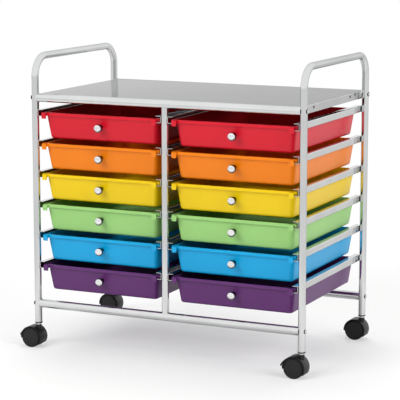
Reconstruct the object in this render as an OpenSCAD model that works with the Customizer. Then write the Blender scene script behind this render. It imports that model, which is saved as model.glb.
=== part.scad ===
// Rolling utility cart: a chromed tube frame with a sheet-metal top,
// two columns of moulded drawers on C-channel rails, and twin-wheel casters.
// Millimetres. +X is to the right, +Y to the back, +Z up, and z = 0 is the floor.
// The origin lies under the centre of the whole cart's bounding box.

/* [Frame] */
// Distance between the left and right leg centre lines
leg_span_x = 645; // [540:5:800]
// Distance between the front and rear leg centre lines
leg_span_y = 376; // [320:4:460]
// Outer diameter of the leg and handle tube
leg_d = 16; // [14:0.5:20]
// Wall of the leg and handle tube
leg_wall = 1.2; // [0.8:0.1:2]
// Outer diameter of the four cross bars
bar_d = 19; // [17:0.5:24]
// Wall of the four cross bars
bar_wall = 1.2; // [0.8:0.1:2]
// Outer diameter of the two middle posts
post_d = 16; // [13:0.5:20]
// Wall of the two middle posts
post_wall = 1.2; // [0.8:0.1:2]
// Centre-line radius of the handle bends
handle_bend_r = 45; // [32:1:80]
// Height of the handle's centre line above the top bars
handle_rise = 91; // [70:1:150]
// Height of the top bars above the top edge of the highest rail
top_bar_rise = 26; // [16:1:60]
// Height of the lowest rail's top edge above the bottom bars
lowest_rail_rise = 98; // [90:1:160]
// Height of the bottom bars above the leg ends
bottom_bar_rise = 43.8; // [30:0.2:90]
// How far a cross bar's notched end reaches round the leg
saddle_depth = 3; // [2:0.5:5]

/* [Rails] */
// Height of the C-channel
rail_h = 15.2; // [14:0.2:22]
// Width of the C-channel's flanges
rail_w = 12.5; // [10:0.5:16]
// Sheet thickness of the C-channel
rail_t = 1; // [0.8:0.1:1.5]
// Inside radius of the C-channel's two bends
rail_bend_r = 1; // [0.5:0.1:2]
// How far the rails run past the leg centre lines
rail_overhang = 4.5; // [0:0.5:7]
// Width of the stop tab bent across the channel's rear end
rail_stop_w = 8; // [4:0.5:9]
// Distance from one row of drawers to the next
row_pitch = 69.2; // [66:0.2:90]

/* [Drawers] */
// Overall height of a drawer, rim included
drawer_h = 59; // [48:0.2:63]
// Thickness of the drawer's walls
drawer_wall = 1.8; // [1.4:0.1:2.6]
// Thickness of the drawer's floor
drawer_floor = 2; // [1.4:0.1:3]
// Thickness of the flange round the drawer's top
rim_t = 2; // [1.4:0.1:2.6]
// Thickness of the skirt that hangs from the flange
skirt_t = 1.8; // [1.2:0.1:2.2]
// Height of the rim, from the flange's top to the skirt's lower edge
rim_h = 6.8; // [5:0.1:8]
// How much lower the skirt hangs along the drawer's front
front_band_drop = 0.2; // [0:0.1:2]
// How far the rim stands out from the wall at the front and the back
rim_front = 3.6; // [3.2:0.2:6]
// How far each side wall leans in from its top to its bottom
side_draft = 7.5; // [3:0.5:12]
// How far the front and back walls lean in from top to bottom
front_draft = 10; // [4:0.5:16]
// Radius of the drawer's upright corners at the top of the wall
drawer_corner_r = 12; // [8:0.5:14]
// Radius of the drawer's upright corners at the foot of the wall
drawer_foot_r = 9; // [6.2:0.1:12]
// Radius of the rim's corners
rim_corner_r = 4; // [3:0.5:8]
// How far a closed drawer's front lies behind the rails' front ends
front_setback = 5.5; // [2:0.5:10]
// Radius between the drawer's walls and its floor
drawer_fillet_r = 5; // [4:0.5:6]
// Height of the stop tab at each front corner, from the rim's top to its lower edge
hook_h = 13; // [10:0.5:16]
// Thickness of the stop tab from front to back
hook_t = 3; // [2:0.5:4]
// Width of the stop tab
hook_w = 10; // [8:0.5:13]
// How far the stop tab stands out past the drawer's wall, in front of the rail's end
hook_reach = 2.4; // [1.6:0.2:4]

/* [Knobs] */
// Diameter of the knob's head
knob_d = 17.5; // [14:0.5:22]
// How far the knob stands out from the drawer
knob_length = 20; // [17:0.5:28]
// Length of the knob's head
knob_head_l = 9; // [6:0.5:12]
// Diameter of the knob's neck
knob_neck_d = 9; // [7:0.5:12]
// Height of the knob's centre below the top of the rim
knob_drop = 25.5; // [18:0.5:32]
// Diameter of the knob's screw
knob_screw_d = 4; // [3:0.5:5]

/* [Top] */
// Thickness of the sheet-metal top
top_t = 1.2; // [0.8:0.1:2]
// How far the top's surface lies below the top of the bars
top_drop = 0.4; // [0.2:0.1:1]
// Height of the folded side aprons
apron_h = 18.5; // [14:0.5:26]
// Inside radius of the fold between the top and an apron
apron_bend_r = 1.5; // [0.5:0.5:3]
// Distance between the two stiffeners under the top
stiffener_span = 222; // [120:2:280]
// Width of a stiffener
stiffener_w = 26; // [16:1:40]
// Depth of a stiffener
stiffener_h = 13; // [8:0.5:16]
// Sheet thickness of a stiffener
stiffener_t = 1; // [0.8:0.1:1.5]

/* [Fasteners] */
// Diameter of the frame bolts
bolt_d = 5; // [4:0.5:6]
// Diameter of the frame bolts' domed heads
bolt_head_d = 10; // [8:0.5:12]
// Height of the frame bolts' domed heads
bolt_head_h = 3; // [2:0.25:4]
// Length of the threaded plug in each cross bar's end
plug_l = 14; // [10:1:20]
// Diameter of the rivets in the top's aprons
rivet_d = 3.2; // [2.4:0.2:4]
// Diameter of the rivets' heads
rivet_head_d = 6; // [5:0.5:8]
// Height of the rivets below the top's surface
rivet_drop = 8; // [6:0.5:10]

/* [Casters] */
// Diameter of the caster wheels
wheel_d = 46; // [40:1:56]
// Width of one caster wheel
wheel_w = 11.5; // [9:0.5:14]
// Gap between the two wheels of a caster
wheel_gap = 11; // [10:0.5:15]
// Radius on the edges of the wheel's tread
tread_edge_r = 2.2; // [1:0.2:3]
// Diameter of the wheel's axle
axle_d = 5; // [4:0.5:6]
// Distance from the stem's axis back to the axle
caster_trail = 13; // [9:0.5:18]
// Height of the hood's neck above the axle
neck_rise = 28.8; // [27:0.1:34]
// Diameter of the hood's neck
neck_d = 13.5; // [12:0.5:18]
// Thickness of the hood's fender
fender_t = 2; // [1.4:0.1:3]
// Diameter of the caster's stem
stem_d = 7; // [6:0.5:8]
// Length of the stem in the leg
stem_in_leg = 30; // [20:1:45]
// Height of the collar on the stem
collar_h = 3.6; // [1.5:0.1:6]
// Diameter of the collar on the stem
collar_d = 10; // [9:0.5:13]
// Thickness of the socket's flange under the leg
socket_flange_t = 2.8; // [2:0.2:4]
// Diameter of the socket's flange
socket_flange_d = 17; // [16.5:0.5:22]
// Width of the brake lever
lever_w = 14; // [11:0.5:20]
// How far the brake lever's tip lies behind the axle
lever_reach = 35; // [32:0.5:42]

/* [Hidden] */
$fn = 48;
eps = 0.01;

// Rows from the top down, with the colour of their drawers
ROWS = [
    ["red", [0.80, 0.13, 0.17]],
    ["orange", [0.92, 0.47, 0.12]],
    ["yellow", [0.92, 0.79, 0.13]],
    ["green", [0.56, 0.82, 0.45]],
    ["blue", [0.13, 0.58, 0.86]],
    ["purple", [0.37, 0.21, 0.43]],
];
SIDES = [["left", -1], ["right", 1]];
// Corner name, side in X and side in Y; the front casters carry the brakes
CORNERS = [
    ["front_left", -1, -1],
    ["front_right", 1, -1],
    ["rear_left", -1, 1],
    ["rear_right", 1, 1],
];
WHEELS = [["front_wheel", -1], ["rear_wheel", 1]];
chrome = [0.80, 0.80, 0.81];
sheet_grey = [0.74, 0.74, 0.75];
black = [0.12, 0.12, 0.12];

// Clearances
run_gap = 0.05;   // round a shaft that turns in its bore
bolt_gap = 0.2;   // round a bolt in a plain hole
wheel_room = 0.8; // between the tread and the fender
side_gap = 0.5;   // between a wheel and the hood's web
lip_gap = 0.3;    // between a drawer's skirt and the rail under it
side_play = 4.5;  // between a drawer's rim and the rail's web
wall_gap = 0.8;   // between a drawer's wall and the rail's flange
hook_gap = 0.3;   // between a closed drawer's stop tab and the rail's front end
stop_gap = 0.5;   // between a closed drawer and the rail's stop
stem_gap = 0.2;   // between the stem's collar and the hood
seat_gap = 0.005; // between a knob's foot and the drawer's front

// Heights above the floor
axle_z = wheel_d / 2;
hood_top_z = axle_z + neck_rise;
socket_z = hood_top_z + stem_gap + collar_h;
leg_end_z = socket_z + socket_flange_t;
bottom_bar_z = leg_end_z + bottom_bar_rise;
lowest_rail_z = bottom_bar_z + lowest_rail_rise;
top_rail_z = lowest_rail_z + (len(ROWS) - 1) * row_pitch;
top_bar_z = top_rail_z + top_bar_rise;
handle_z = top_bar_z + handle_rise;
top_z = top_bar_z + bar_d / 2 - top_drop;

// Frame, from front to back and from side to side
leg_x = leg_span_x / 2;
leg_y = leg_span_y / 2;
leg_face_x = leg_x - leg_d / 2;
post_face_x = post_d / 2;
bay_half = (leg_face_x - post_face_x) / 2;
column_x = post_face_x + bay_half;
rail_end_y = leg_y + rail_overhang;

// Drawer, measured from the middle of its column
rim_half_w = bay_half - rail_t - side_play;
wall_half_w = bay_half - rail_w - wall_gap;
drawer_back_y = rail_end_y - rail_t - stop_gap;
drawer_front_y = front_setback - rail_end_y;
drawer_depth = drawer_back_y - drawer_front_y;
drawer_mid_y = (drawer_back_y + drawer_front_y) / 2;
wall_h = drawer_h - rim_t;
front_tilt = atan(front_draft / wall_h);
corner_steps = 5;
rim_edge = 0.8;
hook_corner_r = 3;
hook_bite = 1.2;
rim_top_below_rail = rail_h - rail_t - lip_gap - rim_h;
function rail_z(row) = top_rail_z - row * row_pitch;
function drawer_z(row) = rail_z(row) - rim_top_below_rail - drawer_h;

// Caster
web_t = wheel_gap - 2 * side_gap;
caster_half_w = wheel_gap / 2 + wheel_w;
fender_r = wheel_d / 2 + wheel_room;
hood_r = fender_r + fender_t;
fender_start = -32;
fender_end = 186;
slot_start = 124;
stem_bore_depth = 22;
stem_low_z = hood_top_z - stem_bore_depth + 1;
axle_l = wheel_gap + 2 * wheel_w - 4;
lever_t = 2.4;
lever_plate_r = 44;
lever_pivot = [-14.5, 9];
lever_pin_d = 3;
lever_tongue_w = 6;
cheek_t = (web_t - lever_tongue_w) / 2 - 0.3;

// The bounding box runs from the brake levers' tips to the right-hand hoods
box_left = leg_x + caster_trail + lever_reach;
box_right = max(leg_x + leg_d / 2 + bolt_head_h, leg_x - caster_trail + hood_r);
origin_x = (box_left - box_right) / 2;

// Points of a circular arc in the plane
function arc(cx, cy, r, from, to, steps = 6) = [
    for (i = [0:steps])
        let (a = from + (to - from) * i / steps)
            [cx + r * cos(a), cy + r * sin(a)]
];

// Everything is placed from the cart's middle; this moves it to the bounding box's
module placed() {
    translate([origin_x, 0, 0]) children();
}

module along_x() {
    rotate([0, 90, 0]) children();
}

module along_y() {
    rotate([90, 0, 0]) children();
}

module at_corners() {
    for (corner = CORNERS) {
        translate([corner[1] * leg_x, corner[2] * leg_y, 0]) children();
    }
}

// The four cross bars' axes, as pairs of Y and Z
BARS = [
    ["top_front_bar", [-leg_y, top_bar_z]],
    ["top_rear_bar", [leg_y, top_bar_z]],
    ["bottom_front_bar", [-leg_y, bottom_bar_z]],
    ["bottom_rear_bar", [leg_y, bottom_bar_z]],
];

module tube(d, wall, h) {
    difference() {
        cylinder(d = d, h = h);
        translate([0, 0, -eps]) cylinder(d = d - 2 * wall, h = h + 2 * eps);
    }
}

// Solid inverted U of round bar, from leg end to leg end over the handle
module hoop(d) {
    bend_z = handle_z - handle_bend_r;
    run = leg_span_y - 2 * handle_bend_r;
    for (side = [-1, 1]) {
        translate([0, side * leg_y, leg_end_z]) cylinder(d = d, h = bend_z - leg_end_z);
        translate([0, side * run / 2, bend_z])
            rotate([90, 0, 90 * side])
                rotate_extrude(angle = 90) translate([handle_bend_r, 0]) circle(d = d);
    }
    translate([0, run / 2, handle_z]) along_y() cylinder(d = d, h = run);
}

module end_frame(side) {
    color(chrome) placed() difference() {
        translate([side * leg_x, 0, 0]) hoop(leg_d);
        translate([side * leg_x, 0, 0]) hoop(leg_d - 2 * leg_wall);
        for (y = [-leg_y, leg_y]) {
            translate([side * leg_x, y, leg_end_z - eps])
                cylinder(d = leg_d - 2 * leg_wall, h = 2 * eps);
            for (z = [bottom_bar_z, top_bar_z]) {
                translate([side * leg_x - leg_d, y, z])
                    along_x() cylinder(d = bolt_d + 2 * bolt_gap, h = 2 * leg_d);
            }
        }
    }
}

// Rounds off what lies at the legs, so that a bar's end sits on the tube
module leg_cuts(y) {
    for (x = [-leg_x, leg_x]) {
        translate([x, y, 0]) cylinder(d = leg_d, h = handle_z);
    }
}

module cross_bar(y, z) {
    half_l = leg_face_x + saddle_depth;
    color(chrome) placed() difference() {
        translate([-half_l, y, z]) along_x() tube(bar_d, bar_wall, 2 * half_l);
        leg_cuts(y);
    }
}

module middle_posts() {
    color(chrome) placed() for (y = [-leg_y, leg_y]) {
        difference() {
            translate([0, y, bottom_bar_z]) tube(post_d, post_wall, top_bar_z - bottom_bar_z);
            for (z = [bottom_bar_z, top_bar_z]) {
                translate([-post_d, y, z]) along_x() cylinder(d = bar_d, h = 2 * post_d);
            }
        }
    }
}

// Channel section, web on the Z axis and flanges towards +X, top edge at z = 0
module channel_profile() {
    r_out = rail_bend_r + rail_t;
    difference() {
        union() {
            translate([r_out, -rail_h]) square([rail_w - r_out, rail_h]);
            translate([0, r_out - rail_h]) square([rail_w, rail_h - 2 * r_out]);
            translate([r_out, -r_out]) circle(r = r_out);
            translate([r_out, r_out - rail_h]) circle(r = r_out);
        }
        translate([r_out, rail_t - rail_h]) square([rail_w, rail_h - 2 * rail_t]);
        translate([rail_t, r_out - rail_h]) square([rail_w, rail_h - 2 * r_out]);
        translate([r_out, -r_out]) circle(r = rail_bend_r);
        translate([r_out, r_out - rail_h]) circle(r = rail_bend_r);
    }
}

module rail() {
    translate([0, rail_end_y, 0])
        along_y() linear_extrude(2 * rail_end_y) channel_profile();
    // Stop tab, bent across the rear end between the flanges
    translate([rail_t / 2, rail_end_y - rail_t, -rail_h + rail_t / 2])
        cube([rail_stop_w, rail_t, rail_h - rail_t]);
}

// One rail for each row; facing is +1 where the channel opens towards +X
module rail_set(web_x, facing) {
    color(chrome) placed() for (row = [0:len(ROWS) - 1]) {
        translate([web_x, 0, rail_z(row)])
            if (facing > 0) {
                rail();
            } else {
                mirror([1, 0, 0]) rail();
            }
    }
}

// Sheet folded down at both ends: a profile across the cart, run from front to back
module top_profile() {
    r_out = apron_bend_r + top_t;
    half = leg_face_x;
    difference() {
        union() {
            translate([-half, -apron_h]) square([2 * half, apron_h - r_out]);
            translate([r_out - half, -r_out]) square([2 * (half - r_out), r_out]);
            for (side = [-1, 1]) {
                translate([side * (half - r_out), -r_out]) circle(r = r_out);
            }
        }
        translate([top_t - half, -apron_h - eps])
            square([2 * (half - top_t), apron_h - r_out + eps]);
        translate([r_out - half, -r_out - eps])
            square([2 * (half - r_out), r_out - top_t + eps]);
        for (side = [-1, 1]) {
            translate([side * (half - r_out), -r_out]) circle(r = apron_bend_r);
        }
    }
}

rivet_z = top_z - rivet_drop;
stiffener_end_x = leg_face_x - top_t;

module at_rivets() {
    for (side = [-1, 1], y = [-stiffener_span / 2, stiffener_span / 2]) {
        translate([side * leg_face_x, y, rivet_z]) along_x() scale_side(side) children();
    }
}

// Turns a fastener round so that its head faces outwards on either side
module scale_side(side) {
    if (side > 0) {
        children();
    } else {
        rotate([180, 0, 0]) children();
    }
}

module top_panel() {
    color(sheet_grey) placed() difference() {
        translate([0, leg_y, top_z]) along_y() linear_extrude(leg_span_y) top_profile();
        for (y = [-leg_y, leg_y]) {
            translate([-leg_x, y, top_bar_z]) along_x() cylinder(d = bar_d, h = leg_span_x);
        }
        at_rivets() translate([0, 0, -top_t - 1]) cylinder(d = rivet_d, h = top_t + 2);
    }
}

// Two channels under the top, closed at the ends where the rivets hold them
module panel_stiffeners() {
    under_z = top_z - top_t;
    length = 2 * stiffener_end_x;
    color(sheet_grey) placed() difference() {
        for (y = [-stiffener_span / 2, stiffener_span / 2]) {
            translate([-stiffener_end_x, y - stiffener_w / 2, under_z - stiffener_h])
                difference() {
                    cube([length, stiffener_w, stiffener_h]);
                    translate([stiffener_t, stiffener_t, -stiffener_t])
                        cube([length - 2 * stiffener_t, stiffener_w - 2 * stiffener_t, stiffener_h]);
                    // The ends are cut back where the folds of the top take the room
                    for (x = [-eps, length - apron_bend_r]) {
                        translate([x, -eps, stiffener_h - apron_bend_r])
                            cube([apron_bend_r + eps, stiffener_w + 2 * eps, apron_bend_r + eps]);
                    }
                }
        }
        at_rivets() translate([0, 0, -top_t - 2 * stiffener_t])
            cylinder(d = rivet_d, h = 2 * stiffener_t);
    }
}

// Domed head on the plane z = 0, with its shank below it
module domed_fastener(head_d, head_h, shank_d, shank_l) {
    dome_r = (head_d * head_d / 4 + head_h * head_h) / (2 * head_h);
    intersection() {
        translate([0, 0, head_h - dome_r]) sphere(r = dome_r);
        cylinder(d = head_d, h = head_h);
    }
    translate([0, 0, -shank_l]) cylinder(d = shank_d, h = shank_l + eps);
}

module apron_rivets() {
    color(chrome) placed() at_rivets() {
        domed_fastener(rivet_head_d, 1.4, rivet_d, top_t + stiffener_t);
        translate([0, 0, -top_t - stiffener_t - 1.6]) cylinder(d = rivet_head_d - 1, h = 1.6);
    }
}

module at_bolts() {
    for (side = [-1, 1], y = [-leg_y, leg_y], z = [bottom_bar_z, top_bar_z]) {
        translate([side * (leg_x + leg_d / 2), y, z]) along_x() scale_side(side) children();
    }
}

module frame_bolts() {
    color(chrome) placed() at_bolts()
        domed_fastener(bolt_head_d, bolt_head_h, bolt_d, leg_d + plug_l - 2);
}

// Threaded plug pressed into each end of each cross bar
module bar_end_plugs() {
    color("gray") placed() difference() {
        for (bar = BARS, side = [-1, 1]) {
            y = bar[1][0];
            z = bar[1][1];
            translate([side * (leg_face_x - plug_l / 2), y, z])
                along_x() cylinder(d = bar_d - 2 * bar_wall, h = plug_l, center = true);
        }
        at_bolts() translate([0, 0, -leg_d - plug_l - 1]) cylinder(d = bolt_d, h = plug_l + leg_d);
    }
}

module leg_sockets() {
    socket_h = socket_flange_t + stem_in_leg;
    color(black) placed() at_corners() translate([0, 0, socket_z]) difference() {
        union() {
            cylinder(d = socket_flange_d, h = socket_flange_t);
            cylinder(d = leg_d - 2 * leg_wall, h = socket_h);
        }
        translate([0, 0, -eps]) cylinder(d = stem_d, h = socket_h + 2 * eps);
    }
}

module caster_stems() {
    color(chrome) placed() at_corners() {
        translate([0, 0, stem_low_z]) cylinder(d = stem_d, h = leg_end_z + stem_in_leg - stem_low_z);
        translate([0, 0, hood_top_z + stem_gap]) cylinder(d = collar_d, h = collar_h);
    }
}

// Rounded rectangle in space: the ring's corners run anticlockwise from +X +Y.
// The front edge hangs lower by front_drop.
function ring(w, d, r, z, front_drop = 0) = [
    for (q = [[1, 1, 0], [-1, 1, 90], [-1, -1, 180], [1, -1, 270]])
        for (i = [0:corner_steps])
            let (a = q[2] + 90 * i / corner_steps)
                [
                    q[0] * (w / 2 - r) + r * cos(a),
                    q[1] * (d / 2 - r) + r * sin(a),
                    z - (a == 270 ? front_drop : 0),
                ]
];

// Closed skin through a list of rings, with a flat cap on the first and the last
module loft(rings) {
    n = len(rings[0]);
    points = [for (one = rings) for (p = one) p];
    last = (len(rings) - 1) * n;
    bottom = [[for (i = [0:n - 1]) i]];
    top = [[for (i = [n - 1:-1:0]) last + i]];
    skin = [
        for (k = [0:len(rings) - 2], i = [0:n - 1])
            let (a = k * n + i, b = k * n + (i + 1) % n)
                each [[a, a + n, b + n], [a, b + n, b]]
    ];
    polyhedron(points = points, faces = concat(bottom, skin, top), convexity = 6);
}

// Outside width and depth of the walls at height z above the drawer's underside
function wall_w(z) = 2 * (wall_half_w - side_draft * (1 - z / wall_h));
function wall_d(z) = drawer_depth - 2 * (rim_front + front_draft * (1 - z / wall_h));
function corner_r(z) = drawer_corner_r + (drawer_foot_r - drawer_corner_r) * (1 - z / wall_h);

// The tray, from its underside out over the rim and back down to its floor
module tray() {
    fillet_angles = [0, 35, 65, 90];
    inner_r = drawer_fillet_r - drawer_wall;
    rim_w = 2 * rim_half_w;
    skirt_w = rim_w - 2 * skirt_t;
    skirt_d = drawer_depth - 2 * skirt_t;
    skirt_z = drawer_h - rim_h;
    loft(concat(
        [
            for (a = fillet_angles)
                let (z = drawer_fillet_r * (1 - cos(a)), inset = drawer_fillet_r * (1 - sin(a)))
                    ring(wall_w(z) - 2 * inset, wall_d(z) - 2 * inset, corner_r(z) - inset, z)
        ],
        [
            ring(wall_w(wall_h), wall_d(wall_h), drawer_corner_r, wall_h),
            ring(skirt_w, skirt_d, rim_corner_r - skirt_t, wall_h),
            ring(skirt_w, skirt_d, rim_corner_r - skirt_t, skirt_z, front_band_drop),
            ring(rim_w, drawer_depth, rim_corner_r, skirt_z, front_band_drop),
            ring(rim_w, drawer_depth, rim_corner_r, drawer_h - rim_edge),
            ring(rim_w - 2 * rim_edge, drawer_depth - 2 * rim_edge, rim_corner_r - rim_edge, drawer_h),
            ring(
                wall_w(drawer_h) - 2 * drawer_wall,
                wall_d(drawer_h) - 2 * drawer_wall,
                drawer_corner_r - drawer_wall,
                drawer_h
            ),
        ],
        [
            for (k = [len(fillet_angles) - 1:-1:0])
                let (
                    a = fillet_angles[k],
                    z = drawer_floor + inner_r * (1 - cos(a)),
                    inset = drawer_wall + inner_r * (1 - sin(a))
                )
                    ring(wall_w(z) - 2 * inset, wall_d(z) - 2 * inset, corner_r(z) - inset, z)
        ]
    ));
}

// Where the knob sits on the slanted front, and the front's outward normal
knob_z = drawer_h - knob_drop;
knob_y = -wall_d(knob_z) / 2;

module at_knob() {
    translate([0, knob_y, knob_z]) rotate([90 + front_tilt, 0, 0]) children();
}

// Tabs at the front corners, which stop the closing drawer against the rails' front ends
module hook_tabs() {
    back_y = -drawer_depth / 2 - front_setback - hook_gap;
    tab_h = hook_h - rim_edge / 2;
    tab_x = wall_half_w + hook_reach - hook_w / 2;
    bridge_w = hook_w - hook_reach;
    for (side = [-1, 1]) {
        translate([side * tab_x - hook_w / 2, back_y, drawer_h - hook_h]) rotate([90, 0, 0])
            linear_extrude(hook_t) {
                translate([0, hook_corner_r]) square([hook_w, tab_h - hook_corner_r]);
                translate([hook_corner_r, 0]) square([hook_w - 2 * hook_corner_r, tab_h]);
                translate([hook_corner_r, hook_corner_r]) circle(r = hook_corner_r);
                translate([hook_w - hook_corner_r, hook_corner_r]) circle(r = hook_corner_r);
            }
        // Bridge from the tab back to the rim
        translate([side * (wall_half_w - bridge_w / 2) - bridge_w / 2, back_y - hook_t / 2, drawer_h - rim_h])
            cube([bridge_w, front_setback + hook_gap + hook_t / 2 + hook_bite, rim_h - rim_edge / 2]);
    }
}

module drawer(row, side) {
    color(ROWS[row][1]) placed() translate([side * column_x, drawer_mid_y, drawer_z(row)])
        difference() {
            union() {
                tray();
                hook_tabs();
            }
            at_knob() translate([0, 0, -2 * drawer_wall])
                cylinder(d = knob_screw_d + 2 * bolt_gap, h = 3 * drawer_wall);
        }
}

// Turned knob: a straight neck that flares into the head, a straight head with a soft edge
// and a low domed face
module knob_body() {
    head_z = knob_length - knob_head_l;
    dome = 1.2;
    edge_r = 1.2;
    flare_h = 4;
    rotate_extrude() polygon(concat(
        [[0, 0], [knob_neck_d / 2, 0], [knob_neck_d / 2, head_z - flare_h]],
        [[knob_d / 2 - edge_r, head_z]],
        arc(knob_d / 2 - edge_r, head_z + edge_r, edge_r, -60, 0, 2),
        arc(knob_d / 2 - edge_r, knob_length - dome - edge_r, edge_r, 0, 60, 3),
        [[knob_d / 4, knob_length - dome / 4], [0, knob_length]]
    ));
}

module knob(row, side) {
    screw_depth = knob_length - knob_head_l;
    color(chrome) placed() translate([side * column_x, drawer_mid_y, drawer_z(row)]) at_knob()
    translate([0, 0, seat_gap]) {
        difference() {
            knob_body();
            translate([0, 0, -1]) cylinder(d = knob_screw_d, h = screw_depth + 1);
        }
        // Screw from inside the drawer
        translate([0, 0, -drawer_wall]) rotate([180, 0, 0])
            domed_fastener(2 * knob_screw_d, 2, knob_screw_d, drawer_wall + screw_depth - 1);
    }
}

// Places a caster's parts: x and z from the axle, y from the caster's middle plane
module at_axle(corner) {
    translate([corner[1] * leg_x - caster_trail, corner[2] * leg_y, axle_z]) children();
}

// Slice of a disc or ring round the axle, from one angle to another above +X,
// and as wide as w along the axle
module slice(r_in, r_out, from, to, w) {
    translate([0, w / 2, 0]) along_y() linear_extrude(w) difference() {
        intersection() {
            circle(r = r_out);
            polygon(concat([[0, 0]], arc(0, 0, 2 * r_out, from, to, 8)));
        }
        if (r_in > 0) circle(r = r_in);
    }
}

module hood(corner) {
    braked = corner[2] < 0;
    fender_w = 2 * caster_half_w - 1;
    neck_foot_r = fender_r + fender_t / 3;
    color(black) placed() at_axle(corner) difference() {
        union() {
            slice(fender_r, hood_r, fender_start, fender_end, fender_w);
            // Web between the wheels, which runs into the fender
            slice(0, hood_r - fender_t / 2, fender_start, fender_end, web_t);
            translate([0, web_t / 2, 0]) along_y() cylinder(r = axle_d + 2, h = web_t);
            difference() {
                translate([caster_trail, 0, 0]) cylinder(d = neck_d, h = neck_rise);
                translate([0, caster_half_w, 0]) along_y() cylinder(r = neck_foot_r, h = 2 * caster_half_w);
            }
        }
        translate([caster_trail, 0, neck_rise - stem_bore_depth])
            cylinder(d = stem_d + 2 * run_gap, h = stem_bore_depth + 1);
        translate([0, caster_half_w, 0]) along_y() cylinder(d = axle_d, h = 2 * caster_half_w);
        if (braked) {
            // Slot for the lever, a fork for its tongue and holes for its trunnions
            slice(fender_r - 3, hood_r + 1, slot_start, fender_end + 2, lever_w + 1);
            slice(axle_d + 4, hood_r + 1, slot_start - 8, fender_end + 2, lever_tongue_w + 0.6);
            translate([lever_pivot[0], web_t, lever_pivot[1]])
                along_y() cylinder(d = lever_pin_d + 2 * run_gap, h = 2 * web_t);
        }
    }
}

module axle(corner) {
    color("silver") placed() at_axle(corner)
        translate([0, axle_l / 2, 0]) along_y() cylinder(d = axle_d, h = axle_l);
}

// Wheel turned about its axle: hub face at z = 0, outer face at z = wheel_w
module wheel_body() {
    r = wheel_d / 2;
    e = tread_edge_r;
    bore_r = axle_d / 2 + run_gap;
    bore_l = wheel_w - 1.7;
    rotate_extrude($fn = 96) polygon(concat(
        [[bore_r, 0], [axle_d / 2 + 3, 0], [axle_d / 2 + 4, 1.5], [r - 4, 1.5], [r - 3, 0]],
        arc(r - e, e, e, -90, 0, 4),
        arc(r - e, wheel_w - e, e, 0, 90, 4),
        [[r - 3.6, wheel_w], [r - 4.2, wheel_w - 0.6], [0, wheel_w - 0.2], [0, bore_l], [bore_r, bore_l]]
    ));
}

module wheel(corner, side) {
    color(black) placed() at_axle(corner)
        translate([0, side * wheel_gap / 2, 0]) rotate([side > 0 ? -90 : 90, 0, 0]) wheel_body();
}

// The lever's plate follows an arc from the hood's top to its tip, in X and Z
lever_tip = [-lever_reach, 0.5];
lever_root = hood_r * [cos(slot_start + 2), sin(slot_start + 2)];
lever_chord = lever_tip - lever_root;
lever_centre = (lever_tip + lever_root) / 2
    + sqrt(pow(lever_plate_r, 2) - pow(norm(lever_chord) / 2, 2))
    * [-lever_chord[1], lever_chord[0]] / norm(lever_chord);
function lever_angle(p) = atan2(p[1] - lever_centre[1], p[0] - lever_centre[0]);
function lever_point(depth, angle) =
    lever_centre + (lever_plate_r - depth) * [cos(angle), sin(angle)];

module lever_plate() {
    from = lever_angle(lever_root);
    to = lever_angle(lever_tip);
    corner_r = lever_w / 4;
    intersection() {
        translate([0, lever_w / 2, 0]) along_y() linear_extrude(lever_w) polygon(concat(
            arc(lever_centre[0], lever_centre[1], lever_plate_r, from, to, 10),
            arc(lever_centre[0], lever_centre[1], lever_plate_r - lever_t, to, from, 10)
        ));
        // Rounded corners at the tip, seen from above
        translate([0, 0, -hood_r]) linear_extrude(2 * hood_r) {
            translate([corner_r - lever_reach, -lever_w / 2]) square([2 * hood_r, lever_w]);
            translate([-lever_reach, corner_r - lever_w / 2]) square([lever_reach, lever_w - 2 * corner_r]);
            for (side = [-1, 1]) {
                translate([corner_r - lever_reach, side * (lever_w / 2 - corner_r)]) circle(r = corner_r);
            }
        }
    }
}

// Brake lever: a curved plate over the hood, a tongue and two trunnions in the fork
module brake_lever(corner) {
    boss_r = lever_pin_d;
    root_angle = lever_angle(lever_root);
    trunnion_l = lever_tongue_w + 2 * cheek_t;
    color(black) placed() at_axle(corner) {
        lever_plate();
        translate([0, lever_tongue_w / 2, 0]) along_y() linear_extrude(lever_tongue_w) {
            translate(lever_pivot) circle(r = boss_r);
            polygon([
                lever_pivot + [boss_r, 0],
                lever_point(lever_t / 2, root_angle + 2),
                lever_point(lever_t / 2, root_angle + 14),
                lever_pivot - [boss_r, 0],
            ]);
        }
        translate([lever_pivot[0], trunnion_l / 2, lever_pivot[1]])
            along_y() cylinder(d = lever_pin_d, h = trunnion_l);
    }
}

end_frame(-1);  // left_end_frame
end_frame(1);  // right_end_frame
for (bar = BARS) {
    cross_bar(bar[1][0], bar[1][1]);
}
middle_posts();
rail_set(-leg_face_x, 1);  // left_rails
rail_set(-post_face_x, -1);  // middle_left_rails
rail_set(post_face_x, 1);  // middle_right_rails
rail_set(leg_face_x, -1);  // right_rails
top_panel();
panel_stiffeners();
apron_rivets();
frame_bolts();
bar_end_plugs();
leg_sockets();
caster_stems();
for (row = [0:len(ROWS) - 1], side = SIDES) {
    drawer(row, side[1]);
    knob(row, side[1]);
}
for (corner = CORNERS) {
    hood(corner);
    axle(corner);
    for (wheel = WHEELS) {
        wheel(corner, wheel[1]);
    }
    if (corner[2] < 0) {
        brake_lever(corner);
    }
}
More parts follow.
